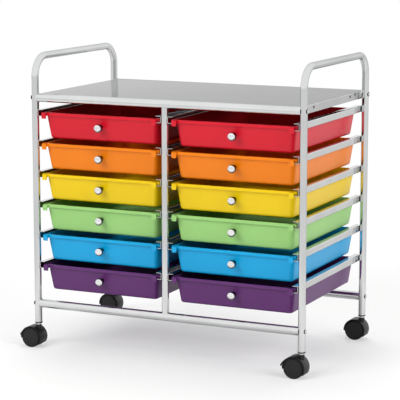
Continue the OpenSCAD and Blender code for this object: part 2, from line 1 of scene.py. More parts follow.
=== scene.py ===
import bpy
import numpy as np
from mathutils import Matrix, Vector


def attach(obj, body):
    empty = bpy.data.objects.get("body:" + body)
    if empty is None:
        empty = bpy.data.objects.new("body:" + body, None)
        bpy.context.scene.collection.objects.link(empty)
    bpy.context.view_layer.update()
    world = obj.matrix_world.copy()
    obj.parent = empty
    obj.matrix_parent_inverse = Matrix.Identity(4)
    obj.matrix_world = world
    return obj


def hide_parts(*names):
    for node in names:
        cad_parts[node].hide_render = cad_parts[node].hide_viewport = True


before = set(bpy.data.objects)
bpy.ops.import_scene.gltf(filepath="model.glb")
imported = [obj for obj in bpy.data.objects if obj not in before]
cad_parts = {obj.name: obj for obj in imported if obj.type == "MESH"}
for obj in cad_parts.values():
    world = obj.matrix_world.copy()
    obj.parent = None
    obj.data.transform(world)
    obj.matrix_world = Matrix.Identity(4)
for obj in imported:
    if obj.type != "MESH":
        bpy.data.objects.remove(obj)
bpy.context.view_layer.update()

MM = 0.001
SHARP = 35

ROWS = ["red", "orange", "yellow", "green", "blue", "purple"]
SIDES = {"left": -1, "right": 1}
CORNERS = {
    "front_left": (-1, -1),
    "front_right": (1, -1),
    "rear_left": (-1, 1),
    "rear_right": (1, 1),
}
PLASTIC = {
    "red": (206, 18, 40),
    "orange": (231, 123, 2),
    "yellow": (229, 194, 2),
    "green": (148, 199, 116),
    "blue": (8, 158, 213),
    "purple": (91, 44, 103),
}

# The cart's sizes in millimetres, as the CAD model has them.
# Frame: places are measured from the cart's middle and the floor
ORIGIN_X = 17.6
LEG_X, LEG_Y, LEG_R, LEG_WALL = 322.5, 188.0, 8.0, 1.2
BAR_R, BAR_WALL = 9.5, 1.2
POST_R, POST_WALL = 8.0, 1.2
BEND_R, SADDLE = 45.0, 3.0
BOTTOM_BAR_RISE, LOWEST_RAIL_RISE, PITCH, TOP_BAR_RISE, HANDLE_RISE = 43.8, 98.0, 69.2, 26.0, 91.0
AXLE_Z = 23.0
NECK_RISE, STEM_GAP, COLLAR_H, FLANGE_H = 28.8, 0.2, 3.6, 2.8
HOOD_TOP = AXLE_Z + NECK_RISE
SOCKET = HOOD_TOP + STEM_GAP + COLLAR_H
LEG_END = SOCKET + FLANGE_H
BOTTOM_BAR = LEG_END + BOTTOM_BAR_RISE
TOP_BAR = BOTTOM_BAR + LOWEST_RAIL_RISE + (len(ROWS) - 1) * PITCH + TOP_BAR_RISE
HANDLE = TOP_BAR + HANDLE_RISE
TOP = TOP_BAR + BAR_R - 0.4
LEG_FACE = LEG_X - LEG_R
BAY_HALF = (LEG_FACE - POST_R) / 2
COLUMN_X = POST_R + BAY_HALF
APRON_H, FOLD_OUT, FOLD_IN = 18.5, 2.7, 1.5
RIVET_DROP, RIVET_Y = 8.0, 111.0
BOLT_R, BOLT_H, SEAT_H = 5.0, 3.0, 0.9
# SEAT_X is the outer face of a bolt's seat ring. The bolts are painted dark inboard of it, as shade where a
# head meets the leg.
SEAT_X = LEG_X + LEG_R + SEAT_H

# Rails
RAIL_H, RAIL_W, RAIL_T = 15.2, 12.5, 1.0
RAIL_OVERHANG, STOP_W = 4.5, 8
RAIL_END = LEG_Y + RAIL_OVERHANG
TOP_RAIL = TOP_BAR - TOP_BAR_RISE

# Drawers. Room is left under the skirt (LIP_GAP), beside the rim (SIDE_PLAY), beside the wall
# (WALL_GAP), behind a closed drawer (STOP_GAP) and behind its stop tabs (TAB_GAP)
DRAWER_H, WALL, FLOOR, RIM_T, SKIRT_T, RIM_H = 59.0, 1.8, 2.0, 2.0, 1.8, 6.8
RIM_OUT, SIDE_LEAN, FRONT_LEAN = 3.6, 7.5, 10.0
TOP_R, FOOT_R, RIM_R = 12.0, 9.0, 4.0
SETBACK = 5.5
LIP_GAP, SIDE_PLAY, WALL_GAP, STOP_GAP = 0.3, 4.5, 0.8, 0.5
RIM_HALF = BAY_HALF - RAIL_T - SIDE_PLAY
WALL_HALF = BAY_HALF - RAIL_W - WALL_GAP
BACK_Y, FRONT_Y = RAIL_END - RAIL_T - STOP_GAP, SETBACK - RAIL_END
DEPTH, MID_Y = BACK_Y - FRONT_Y, (BACK_Y + FRONT_Y) / 2
WALL_H = DRAWER_H - RIM_T
RIM_BELOW_RAIL = RAIL_H - RAIL_T - LIP_GAP - RIM_H
KNOB_DROP, KNOB_L, KNOB_HEAD_L, KNOB_FLARE = 25.5, 20.0, 9.0, 4
KNOB_R, KNOB_NECK_R = 8.75, 4.5
# KNOB_NECK_Y, in metres, is where the knobs' painted shade and dark reflection begin, behind the crown.
KNOB_NECK_Y = -0.198
TAB_W, TAB_H, TAB_T, TAB_OUT, TAB_GAP = 11.0, 13.0, 3.0, 2.4, 0.3

# Casters; angles are in degrees above +X, round the axle
TRAIL = 13.0
WHEEL_R, WHEEL_W, WHEEL_GAP, SIDE_GAP, BORE_END = 23.0, 11.5, 11.0, 0.5, 1.7
FENDER_R, HOOD_R = WHEEL_R + 0.8, WHEEL_R + 2.8
WEB_HALF = WHEEL_GAP / 2 - SIDE_GAP
LEVER_W, LEVER_T, LEVER_R, LEVER_REACH = 14.0, 2.4, 44.0, 35.0
LEVER_PIVOT = np.array([-14.5, 9.0])
FENDER_START, FENDER_END, SLOT_START = -32, 186, 124.0


# Shapes

def arc(cx, cy, r, start, end, steps=8):
    """Points of a circle: centre plus r times (cos, sin) of evenly spaced angles in degrees."""
    a = np.radians(np.linspace(start, end, steps + 1))
    return np.column_stack([cx + r * np.cos(a), cy + r * np.sin(a)])


def grid_faces(rows, cols, close_rows, offset):
    """Quads between neighbouring rows and columns of a grid. The columns wrap round, and so do rows
    that close."""
    i = np.arange(rows if close_rows else rows - 1)[:, None]
    j = np.arange(cols)[None, :]
    i2, j2 = (i + 1) % rows, (j + 1) % cols
    quads = np.stack(np.broadcast_arrays(i * cols + j, i * cols + j2, i2 * cols + j2, i2 * cols + j), -1)
    return (quads.reshape(-1, 4) + offset).tolist()


class Shell:
    """Collects grids of points, in millimetres from the cart's middle, and makes one mesh of them."""

    def __init__(self):
        self.points, self.faces, self.count = [], [], 0

    def grid(self, p, close_rows=False, caps=(True, True), flip=False):
        """A surface p[row, column] whose columns close round. Its rows close too, or its first and
        last row each get a cap of one face."""
        rows, cols = p.shape[:2]
        faces = grid_faces(rows, cols, close_rows, self.count)
        if not close_rows:
            first = list(range(self.count, self.count + cols))
            last = list(range(self.count + (rows - 1) * cols, self.count + rows * cols))
            if caps[0]:
                faces.append(first[::-1])
            if caps[1]:
                faces.append(last)
        if flip:
            faces = [f[::-1] for f in faces]
        self.points.append(p.reshape(-1, 3))
        self.faces += faces
        self.count += rows * cols
        return self

    def moved(self, offset):
        self.points = [p + np.asarray(offset, float) for p in self.points]
        return self

    def build(self, name, body, material, replaces=(), slot=None):
        """Makes the mesh in metres, smooth except at edges sharper than SHARP degrees."""
        mesh = bpy.data.meshes.new(name)
        points = (np.concatenate(self.points) + [ORIGIN_X, 0, 0]) * MM
        mesh.from_pydata(points.tolist(), [], self.faces)
        mesh.validate()
        mesh.shade_smooth()
        mesh.set_sharp_from_angle(angle=np.radians(SHARP))
        mesh.materials.append(material)
        piece = bpy.data.objects.new(name, mesh)
        bpy.context.scene.collection.objects.link(piece)
        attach(piece, body)
        if replaces:
            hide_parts(*replaces)
        return piece


def lathe(profile, steps):
    """Turns a profile of (radius, height) about the Z axis: p = (r cos a, r sin a, z) for each angle a."""
    a = np.radians(np.linspace(0.0, 360.0, steps, endpoint=False))
    r, z = profile[:, 0][None, :], profile[:, 1][None, :]
    return np.stack([r * np.cos(a)[:, None], r * np.sin(a)[:, None], z + 0 * a[:, None]], -1)


def frame_points(p, x_axis, y_axis, z_axis, origin):
    """Places local points: p = origin + x times its axis + y times its axis + z times its axis."""
    axes = np.array([x_axis, y_axis, z_axis], float)
    return p @ axes + np.asarray(origin, float)


def turned(shell, profile, x_axis, y_axis, z_axis, origin, steps=48):
    """A closed turned shape. Its profile starts and ends on the axis, where the last rings meet in a
    fan of triangles round one point."""
    p = frame_points(lathe(profile, steps), x_axis, y_axis, z_axis, origin).transpose(1, 0, 2)
    first = shell.count
    shell.grid(p[1:-1], caps=(False, False))
    shell.points.append(p[[0, -1], 0])
    j = np.arange(steps)
    j2 = (j + 1) % steps
    last = first + (len(p) - 3) * steps
    start, end = shell.count + 0 * j, shell.count + 1 + 0 * j
    shell.faces += np.stack([start, first + j2, first + j], 1).tolist()
    shell.faces += np.stack([end, last + j, last + j2], 1).tolist()
    shell.count += 2
    return shell


def pipe(shell, origin, axis, across, r_out, r_in, start, end, steps=64, rows=3):
    """Straight tube with a bore. At angle a its ends lie at start(y) and end(y) along the axis,
    where y = r sin a is the height of the point across the tube, so an end can be coped."""
    a = np.radians(np.arange(steps) * 360 / steps)
    axis, across = np.asarray(axis, float), np.asarray(across, float)
    third = np.cross(axis, across)
    loops = []
    for r, back in ((r_out, False), (r_in, True)):
        y = r * np.sin(a)
        s0, s1 = start(y), end(y)
        t = np.linspace(0, 1, rows)[:, None]
        s = s0[None, :] * (1 - t) + s1[None, :] * t
        side = r * np.cos(a)[:, None] * third + y[:, None] * across
        p = np.asarray(origin, float) + s[..., None] * axis + side[None]
        loops.append(p[::-1] if back else p)
    shell.grid(np.concatenate(loops), close_rows=True, flip=True)
    return shell


def bent_sheet(shell, outer, inner, ends, flip=False):
    """Folded sheet run from front to back. outer and inner are the two skins of its section, point
    by point, and ends(x, z) gives how far it reaches to the front and the back at each point."""
    def skin(points, side):
        y = side * ends(points[:, 0], points[:, 1])
        return np.column_stack([points[:, 0], y, points[:, 1]])
    loops = [skin(outer, -1), skin(outer, 1), skin(inner, 1), skin(inner, -1)]
    shell.grid(np.stack(loops, 1), flip=flip)
    return shell


def rounded_rectangles(rows, steps=10, along=6):
    """Rings of a loft. Each row holds width, depth, corner radius and height; a ring's corners are
    quarter circles and its sides are straight, with points along them, all anticlockwise."""
    w, d, r, z = (np.asarray(rows, float)[:, k][:, None, None] for k in range(4))
    sx = np.array([1, -1, -1, 1])[None, :, None]
    sy = np.array([1, 1, -1, -1])[None, :, None]
    a = np.radians(np.array([0, 90, 180, 270])[:, None] + np.linspace(0, 90, steps + 1)[None, :])[None]
    x = sx * (w / 2 - r) + r * np.cos(a)
    y = sy * (d / 2 - r) + r * np.sin(a)
    t = np.linspace(0, 1, along + 2)[1:-1]
    xs = x[:, :, -1:] * (1 - t) + np.roll(x, -1, 1)[:, :, :1] * t
    ys = y[:, :, -1:] * (1 - t) + np.roll(y, -1, 1)[:, :, :1] * t
    x = np.concatenate([x, xs], 2)
    y = np.concatenate([y, ys], 2)
    return np.stack([x, y, z + 0 * x], -1).reshape(len(rows), -1, 3)


def sweep(path, profile):
    """Carries a closed profile along a path. path gives centre, x axis and y axis for each step,
    and a point of the profile (u, v) goes to centre + u * x axis + v * y axis."""
    centre, xa, ya = path
    u, v = profile[..., 0], profile[..., 1]
    if profile.ndim == 2:
        u, v = u[None, :], v[None, :]
    return centre[:, None] + u[..., None] * xa[:, None] + v[..., None] * ya[:, None]


def rounded_profile(w, h, r, steps=4):
    """Outline of a rounded rectangle, anticlockwise, as (u, v) pairs about its middle."""
    parts = [
        arc(sx * (w / 2 - r), sy * (h / 2 - r), r, a, a + 90, steps)
        for sx, sy, a in ((1, 1, 0), (-1, 1, 90), (-1, -1, 180), (1, -1, 270))
    ]
    return np.concatenate(parts)


# Finishes

class Value:
    """A shader value: the operators add Math nodes, so that a pattern reads as a formula."""

    def __init__(self, finish, socket):
        self.finish, self.socket = finish, socket

    def math(self, operation, *values):
        return self.finish.node("ShaderNodeMath", {"operation": operation}, *values)

    def __add__(self, other):
        return self.math("ADD", self, other)

    __radd__ = __add__

    def __sub__(self, other):
        return self.math("SUBTRACT", self, other)

    def __rsub__(self, other):
        return self.math("SUBTRACT", other, self)

    def __mul__(self, other):
        return self.math("MULTIPLY", self, other)

    __rmul__ = __mul__

    def __truediv__(self, other):
        return self.math("DIVIDE", self, other)

    def __rtruediv__(self, other):
        return self.math("DIVIDE", other, self)

    def __pow__(self, other):
        return self.math("POWER", self, other)

    def __abs__(self):
        return self.math("ABSOLUTE", self)

    def smooth(self, low, high):
        """0 below low, 1 above high, and a smooth rise between them."""
        settings = {"interpolation_type": "SMOOTHSTEP"}
        return self.finish.node("ShaderNodeMapRange", settings, self, low, high, 0.0, 1.0)


def linear(rgb, scale=1.0):
    """An 0-255 sRGB colour as Blender's linear RGBA."""
    c = np.asarray(rgb, float) / 255
    c = np.where(c <= 0.04045, c / 12.92, ((c + 0.055) / 1.055) ** 2.4) * scale
    return (*c.tolist(), 1.0)


class Finish:
    """A node material. node() adds any node; set() feeds the shader's sockets."""

    def __init__(self, name):
        self.material = bpy.data.materials.new(name)
        self.material.use_nodes = True
        self.tree = self.material.node_tree
        self.shader = self.tree.nodes["Principled BSDF"]
        self.output = self.tree.nodes["Material Output"]
        self.place = self.node("ShaderNodeTexCoord", {}, out="Object")

    def feed(self, socket, value):
        if isinstance(value, Value):
            self.tree.links.new(value.socket, socket)
        else:
            socket.default_value = value

    def node(self, kind, settings=None, *values, out=0, **named):
        made = self.tree.nodes.new(kind)
        for key, value in (settings or {}).items():
            setattr(made, key, value)
        for socket, value in zip(made.inputs, values):
            self.feed(socket, value)
        for key, value in named.items():
            self.feed(made.inputs[key.replace("_", " ")], value)
        return Value(self, made.outputs[out])

    def noise(self, scale, detail=2.0, roughness=0.5, vector=None):
        return self.node("ShaderNodeTexNoise", {}, Vector=vector or self.place, Scale=scale, Detail=detail,
                         Roughness=roughness)

    def stretched(self, scale):
        """The place of a point with each axis scaled, for grain and scratches."""
        return self.node("ShaderNodeMapping", {}, Vector=self.place, Scale=scale)

    def blend(self, first, second, amount):
        made = self.tree.nodes.new("ShaderNodeMix")
        made.data_type = "RGBA"
        for index, value in ((0, amount), (6, first), (7, second)):
            self.feed(made.inputs[index], value)
        return Value(self, made.outputs[2])

    def bump(self, height, strength, distance):
        return self.node("ShaderNodeBump", {}, Strength=strength, Distance=distance, Height=height)

    def set(self, **named):
        for key, value in named.items():
            self.feed(self.shader.inputs[key.replace("_", " ")], value)
        return self

    def parts(self, vector):
        """The x, y and z of a vector."""
        split = self.tree.nodes.new("ShaderNodeSeparateXYZ")
        self.feed(split.inputs[0], vector)
        return [Value(self, split.outputs[k]) for k in range(3)]

    def axes(self):
        """The three coordinates of the place, in metres."""
        return self.parts(self.place)

    def facing(self):
        """The direction that the surface faces, as x, y and z of its normal."""
        return self.parts(self.node("ShaderNodeTexCoord", {}, out="Normal"))


def inner_side(f, row):
    """1 on the inside of a row's drawers and 0 outside. The test is a box half a wall inside the
    outer skin, which leans as the walls do: half a width less the lean times (1 - height / wall)."""
    x, y, z = (axis * (1 / MM) for axis in f.axes())
    height = z - (TOP_RAIL - row * PITCH - RIM_BELOW_RAIL - DRAWER_H)
    lean = 1 - height / WALL_H
    across = WALL_HALF - WALL / 2 - SIDE_LEAN * lean - abs(abs(x - ORIGIN_X) - COLUMN_X)
    along = DEPTH / 2 - RIM_OUT - WALL / 2 - FRONT_LEAN * lean - abs(y - MID_Y)
    return across.smooth(-0.3, 0.3) * along.smooth(-0.3, 0.3) * height.smooth(0.8, 1.2)


def moulded_plastic(name, rgb, row):
    """Glossy injection-moulded plastic: slight streaks in the colour, fine scuffs and a soft texture.
    The drawer's inside is matt."""
    f = Finish(name)
    cloud = f.noise(9.0, 3.0)
    scuff = f.noise(180.0, 4.0, 0.65, f.stretched((1.0, 1.0, 6.0))).smooth(0.56, 0.78)
    fine = f.noise(2200.0, 2.0)
    body = f.blend(linear(rgb, 0.97), linear(rgb, 1.03), cloud.smooth(0.3, 0.7))
    f.set(
        Base_Color=f.blend(body, linear([min(255, c + 40) for c in rgb]), scuff * 0.08),
        Roughness=0.26 + scuff * 0.10 + cloud * 0.05 + inner_side(f, row) * 0.65,
        Normal=f.bump(fine * 0.4 + f.noise(60.0, 2.0) * 0.6, 0.04, 0.0005),
    )
    f.shader.inputs["IOR"].default_value = 1.49
    f.shader.inputs["Specular IOR Level"].default_value = 0.34
    return f.material


def polished_metal(name, rgb, rough, streak=(1.0, 1.0, 1.0), streak_depth=0.03, edge=0.6, painted_shade=None):
    """Plated or rolled steel: faint wiping streaks, a few duller clouds and small specks. It reflects
    less where it is seen edge on. Its last argument, a function of the finish, gives where shade and
    dark reflections are painted into the colour, such as at a bolt's seat."""
    f = Finish(name)
    cloud = f.noise(14.0, 3.0)
    streaks = f.noise(420.0, 3.0, 0.6, f.stretched(streak))
    speck = f.noise(900.0, 1.0).smooth(0.74, 0.80)
    tone = f.blend(linear(rgb, 0.95), linear(rgb, 1.03), cloud.smooth(0.3, 0.7))
    # Painted shade and reflection: the colour goes nearly black where that function is 1.
    if painted_shade:
        tone = f.blend(tone, linear(rgb, 0.05), painted_shade(f))
    f.shader.inputs["Specular Tint"].default_value = (edge, edge, edge, 1)
    f.set(
        Base_Color=f.blend(tone, linear(rgb, 0.6), speck * 0.35),
        Metallic=1.0,
        Roughness=rough + cloud * 0.03 + streaks * 0.05 + speck * 0.1,
        Normal=f.bump(streaks, streak_depth, 0.0004),
    )
    return f.material


def tread(f):
    """1 on a wheel's tread and 0 on its disc. The tread gets painted shade, near black, for the gap
    between the wheel and its hood. The test is the distance from the axle, squared:
    (|x - the casters' middle| - leg x) squared plus (z - axle height) squared."""
    x, _, z = (axis * (1 / MM) for axis in f.axes())
    across = abs(x - (ORIGIN_X - TRAIL)) - LEG_X
    up = z - AXLE_Z
    return (across * across + up * up).smooth((WHEEL_R - 3.9) ** 2, (WHEEL_R - 3.3) ** 2)


def dark_plastic(name, rgb, rough, gloss=0.3, painted_shade=None):
    """Black nylon of the casters: a fine spark-eroded grain with dusty and rubbed patches.
    Its last argument, a function of the finish, gives where shade is painted in, near black, such as on a
    wheel's tread."""
    f = Finish(name)
    grain = f.noise(2600.0, 2.0)
    dust = f.noise(45.0, 4.0, 0.6).smooth(0.5, 0.75)
    rubbed = f.noise(260.0, 3.0).smooth(0.6, 0.8)
    tone = f.blend(linear(rgb), linear([c + 16 for c in rgb]), dust * 0.45)
    tone = f.blend(tone, linear([c + 22 for c in rgb]), rubbed * 0.25)
    # Painted shade: the colour goes nearly black where that function is 1.
    if painted_shade:
        tone = f.blend(tone, linear(rgb, 0.15), painted_shade(f))
    f.set(
        Base_Color=tone,
        Roughness=rough + dust * 0.15 - rubbed * 0.08,
        Normal=f.bump(grain * 0.6 + dust * 0.4, 0.10, 0.0005),
    )
    f.shader.inputs["Specular IOR Level"].default_value = gloss
    return f.material


plastics = {
    colour: moulded_plastic(colour + "_plastic", PLASTIC[colour], row)
    for row, colour in enumerate(ROWS)
}
chrome = polished_metal("chrome_tube", (225, 226, 226), 0.05, (1.0, 1.0, 0.06), 0.02)
rail_chrome = polished_metal("plated_rail", (226, 227, 227), 0.03, (1.0, 0.05, 1.0), 0.01, 0.85)
# The top sheet is painted about a quarter darker where it faces up: a painted reflection, dimmer on its
# upper face than on its aprons.
sheet_metal = polished_metal("top_sheet_steel", (226, 226, 227), 0.08, (0.3, 1.0, 1.0), 0.015, 0.56,
                             lambda f: f.facing()[2].smooth(0.5, 0.95) * 0.24)
# The knob is painted dark behind its crown, on the side of its head and on its neck: painted shade and a
# painted dark reflection.
knob_chrome = polished_metal("knob_chrome", (246, 246, 247), 0.10, streak_depth=0.02,
                             painted_shade=lambda f: f.axes()[1].smooth(KNOB_NECK_Y, KNOB_NECK_Y + MM) * 0.9)
# The bolt is painted dark inboard of its seat ring's outer face: painted shade where the head meets the leg.
bolt_steel = polished_metal("bolt_steel", (226, 226, 227), 0.10, painted_shade=lambda f: 1 - (
    (f.axes()[0] - ORIGIN_X * MM) ** 2).smooth((SEAT_X * MM) ** 2, ((SEAT_X + 0.1) * MM) ** 2))
pin_steel = polished_metal("pin_steel", (244, 244, 245), 0.30)
dark_steel = polished_metal("dark_rivet_steel", (92, 92, 94), 0.35)
bare_steel = polished_metal("bare_steel", (150, 150, 152), 0.35)
# The wheels' treads are painted near black: painted shade for the gap between the wheels and their hood.
wheel_black = dark_plastic("wheel_nylon", (28, 28, 29), 0.42, painted_shade=tread)
socket_black = dark_plastic("socket_nylon", (9, 9, 10), 0.55, 0.15)
hood_black = dark_plastic("hood_nylon", (18, 18, 19), 0.34, 0.35)


# Frame

X, Y, Z = np.eye(3)


def end_hoop(side):
    """Inverted U tube: up the front leg, round a quarter circle, along the handle and down again.
    The outer circle goes along the path and the bore comes back, which closes the two leg ends."""
    bend_z, run = HANDLE - BEND_R, LEG_Y - BEND_R
    front = arc(-run, bend_z, BEND_R, 180, 90, 20)
    back = arc(run, bend_z, BEND_R, 90, 0, 20)
    legs = np.linspace(LEG_END, bend_z, 12)[:-1]
    y = np.concatenate([np.full(len(legs), -LEG_Y), front[:, 0], back[:, 0], np.full(len(legs), LEG_Y)])
    z = np.concatenate([legs, front[:, 1], back[:, 1], legs[::-1]])
    centre = np.column_stack([np.full(len(y), side * LEG_X), y, z])
    along = np.gradient(centre, axis=0)
    along[: len(legs)] = Z
    along[-len(legs):] = -Z
    along /= np.linalg.norm(along, axis=1)[:, None]
    across = np.tile(X, (len(y), 1))
    path = (centre, across, np.cross(along, across))
    steps = 64
    outer, inner = (
        sweep(path, arc(0, 0, r, 0, 360 - 360 / steps, steps - 1)) for r in (LEG_R, LEG_R - LEG_WALL)
    )
    return Shell().grid(np.concatenate([outer, inner[::-1]]), close_rows=True)


def cross_bar(y, z):
    """Bar between the legs, each end coped so that it fits round the leg's tube."""
    def reach(v):
        return LEG_X - np.maximum(LEG_R - SADDLE, np.sqrt(np.maximum(0, LEG_R ** 2 - v ** 2)))
    return pipe(Shell(), (0, y, z), X, Y, BAR_R, BAR_R - BAR_WALL, lambda v: -reach(v), reach)


def posts():
    """Middle posts, coped over the bars: each end lies on the bar's circle."""
    shell = Shell()
    for y in (-LEG_Y, LEG_Y):
        pipe(shell, (0, y, 0), Z, Y, POST_R, POST_R - POST_WALL,
             lambda v: BOTTOM_BAR + np.sqrt(BAR_R ** 2 - v ** 2),
             lambda v: TOP_BAR - np.sqrt(BAR_R ** 2 - v ** 2))
    return shell


def rails(web_x, facing):
    """Six C-channels: a folded strip from flange to flange, with a stop bent across the rear end."""
    shell = Shell()
    r = RAIL_T
    for row in range(len(ROWS)):
        top = TOP_RAIL - row * PITCH
        centres = [(2 * r, -2 * r, 90, 180), (2 * r, 2 * r - RAIL_H, 180, 270)]
        skins = []
        for radius in (2 * r, r):
            bends = [arc(cx, cz, radius, a, b, 5) for cx, cz, a, b in centres]
            lip = 2 * r - radius
            skins.append(np.concatenate([[[RAIL_W, -lip]], *bends, [[RAIL_W, lip - RAIL_H]]]))
        outer, inner = (np.column_stack([web_x + facing * s[:, 0], top + s[:, 1]]) for s in skins)
        part = Shell()
        bent_sheet(part, outer, inner, lambda x, z: 0 * x + RAIL_END, facing < 0)
        stop = rounded_rectangles([[STOP_W, RAIL_H - 0.6, 0.4, z] for z in (0, 1)], 2, 0)
        p = frame_points(stop, X * facing, Z, Y, (web_x + facing * 4.5, RAIL_END - 1, top - RAIL_H / 2))
        part.grid(p, flip=facing > 0)
        shell.points += part.points
        shell.faces += [[i + shell.count for i in f] for f in part.faces]
        shell.count += part.count
    return shell


def top_sheet():
    """Top with folded aprons. Its front and back edges follow the circle of the bars."""
    r_out, r_in = FOLD_OUT, FOLD_IN
    half = LEG_FACE
    centres = [(half - r_out, TOP - r_out, 0, 90), (r_out - half, TOP - r_out, 90, 180)]
    low = TOP - APRON_H
    drop = np.linspace(low, TOP - r_out, 12)[:-1]
    skins = []
    for radius in (r_out, r_in):
        bends = [arc(cx, cz, radius, a, b, 6) for cx, cz, a, b in centres]
        x = half - (r_out - radius)
        right = np.column_stack([np.full(len(drop), x), drop])
        left = np.column_stack([np.full(len(drop), -x), drop[::-1]])
        skins.append(np.concatenate([right, *bends, left]))
    def reach(x, z):
        return LEG_Y - np.sqrt(np.maximum(0, BAR_R ** 2 - (z - TOP_BAR) ** 2))
    return bent_sheet(Shell(), skins[0], skins[1], reach)


def pan_head(head_r, head_h, shank_r, shank_l, seat=0.0):
    """Profile of a low domed head on a shank, from the tip to the crown. A seat is a ring under the
    head, a little wider than the dome."""
    rise, wide = head_h - seat, head_r - seat * 0.5
    r = (wide ** 2 + rise ** 2) / (2 * rise)
    half = np.degrees(np.arcsin(wide / r))
    dome = arc(0, head_h - r, r, 90 - half * 0.96, 90, 8)
    ring = [[head_r, seat], [wide, seat]] if seat else []
    shank = [[0, -shank_l], [shank_r, -shank_l], [shank_r, 0], [head_r, 0]]
    return np.concatenate([shank + ring + [[wide, seat + 0.4]], dome])


def heads(places, profile):
    """The same turned fastener at each (point, outward direction)."""
    shell = Shell()
    for point, out in places:
        turned(shell, profile, Y, np.cross(out, Y), out, point, 32)
    return shell


bolt_places = [
    ((side * (LEG_X + LEG_R), y, z), side * X)
    for side in (-1, 1) for y in (-LEG_Y, LEG_Y) for z in (BOTTOM_BAR, TOP_BAR)
]
rivet_places = [
    ((side * LEG_FACE, y, TOP - RIVET_DROP), side * X)
    for side in (-1, 1) for y in (-RIVET_Y, RIVET_Y)
]

end_hoop(-1).build("left_hoop_tube", "frame", chrome, ["left_end_frame"], "chrome")
end_hoop(1).build("right_hoop_tube", "frame", chrome, ["right_end_frame"], "chrome")
for name, y, z in (("top_front", -LEG_Y, TOP_BAR), ("top_rear", LEG_Y, TOP_BAR),
                   ("bottom_front", -LEG_Y, BOTTOM_BAR), ("bottom_rear", LEG_Y, BOTTOM_BAR)):
    cross_bar(y, z).build(name + "_tube", "frame", chrome, [name + "_bar"], "chrome")
posts().build("middle_post_tubes", "frame", chrome, ["middle_posts"], "chrome")
for name, web_x, facing in (("left", -LEG_FACE, 1), ("middle_left", -POST_R, -1),
                            ("middle_right", POST_R, 1), ("right", LEG_FACE, -1)):
    rails(web_x, facing).build(name + "_channels", "frame", rail_chrome, [name + "_rails"], "chrome")
top_sheet().build("folded_top", "frame", sheet_metal, ["top_panel"], "top_sheet")
heads(bolt_places, pan_head(BOLT_R, BOLT_H, shank_r=2.5, shank_l=28.0, seat=SEAT_H)).build(
    "bolt_heads", "frame", bolt_steel, ["frame_bolts"], "fasteners")
heads(rivet_places, pan_head(head_r=3.0, head_h=1.4, shank_r=1.6, shank_l=3.6)).build(
    "rivet_heads", "frame", dark_steel, ["apron_rivets"], "fasteners")


# Drawers

def wall_w(z):
    return 2 * (WALL_HALF - SIDE_LEAN * (1 - z / WALL_H))


def wall_d(z):
    return DEPTH - 2 * (RIM_OUT + FRONT_LEAN * (1 - z / WALL_H))


def corner_r(z):
    return TOP_R + (FOOT_R - TOP_R) * (1 - z / WALL_H)


def tray_rows():
    """Width, depth, corner radius and height of each ring: up the outside, over the rim, down the inside."""
    fillet, rows = 5.0, []
    for a in np.linspace(0, 90, 7):
        z, inset = fillet * (1 - np.cos(np.radians(a))), fillet * (1 - np.sin(np.radians(a)))
        rows.append([wall_w(z) - 2 * inset, wall_d(z) - 2 * inset, corner_r(z) - inset, z])
    for z in np.linspace(8, WALL_H - 1, 6):
        rows.append([wall_w(z), wall_d(z), corner_r(z), z])
    w, d, r = 2 * RIM_HALF, DEPTH, RIM_R
    low = DRAWER_H - RIM_H
    rows.append([wall_w(WALL_H) + 1.6, wall_d(WALL_H) + 1.6, TOP_R + 0.8, WALL_H])
    rows.append([w - 2 * SKIRT_T, d - 2 * SKIRT_T, r - SKIRT_T, WALL_H])
    rows.append([w - 2 * SKIRT_T, d - 2 * SKIRT_T, r - SKIRT_T, low + 0.3])
    rows.append([w - 2 * SKIRT_T + 0.6, d - 2 * SKIRT_T + 0.6, r - SKIRT_T + 0.3, low])
    rows.append([w - 0.6, d - 0.6, r - 0.3, low])
    rows.append([w, d, r, low + 0.4])
    rows.append([w, d, r, low + RIM_H * 0.5])
    for a in np.linspace(0, 90, 5):
        e = 1.2 * (1 - np.cos(np.radians(a)))
        rows.append([w - 2 * e, d - 2 * e, r - e, DRAWER_H - 1.2 * (1 - np.sin(np.radians(a)))])
    inner_w, inner_d = wall_w(DRAWER_H) - 2 * WALL, wall_d(DRAWER_H) - 2 * WALL
    for a in np.linspace(0, 90, 4):
        e = 0.8 * (1 - np.sin(np.radians(a)))
        z = DRAWER_H - 0.8 * (1 - np.cos(np.radians(a)))
        rows.append([inner_w + 2 * e, inner_d + 2 * e, TOP_R - WALL + e, z])
    inner_fillet = fillet - WALL
    for a in np.linspace(90, 0, 6):
        z = FLOOR + inner_fillet * (1 - np.cos(np.radians(a)))
        inset = WALL + inner_fillet * (1 - np.sin(np.radians(a)))
        rows.append([wall_w(z) - 2 * inset, wall_d(z) - 2 * inset, corner_r(z) - inset, z])
    return rows


def tray():
    """The drawer as one loft of rounded rectangles, closed flat underneath and at its floor."""
    return Shell().grid(rounded_rectangles(tray_rows()))


def tab_outline(edge):
    """Outline of a stop tab about its middle, rounder at its two lower corners than above."""
    w, h = TAB_W / 2, TAB_H / 2 - 0.2
    corners = ((-1, -1, 180, 1.6), (1, -1, 270, 1.6), (1, 1, 0, 0.9), (-1, 1, 90, 0.9))
    return np.concatenate([
        arc(sx * (w - r), sy * (h - r), r - edge, a, a + 90, 5) for sx, sy, a, r in corners
    ])


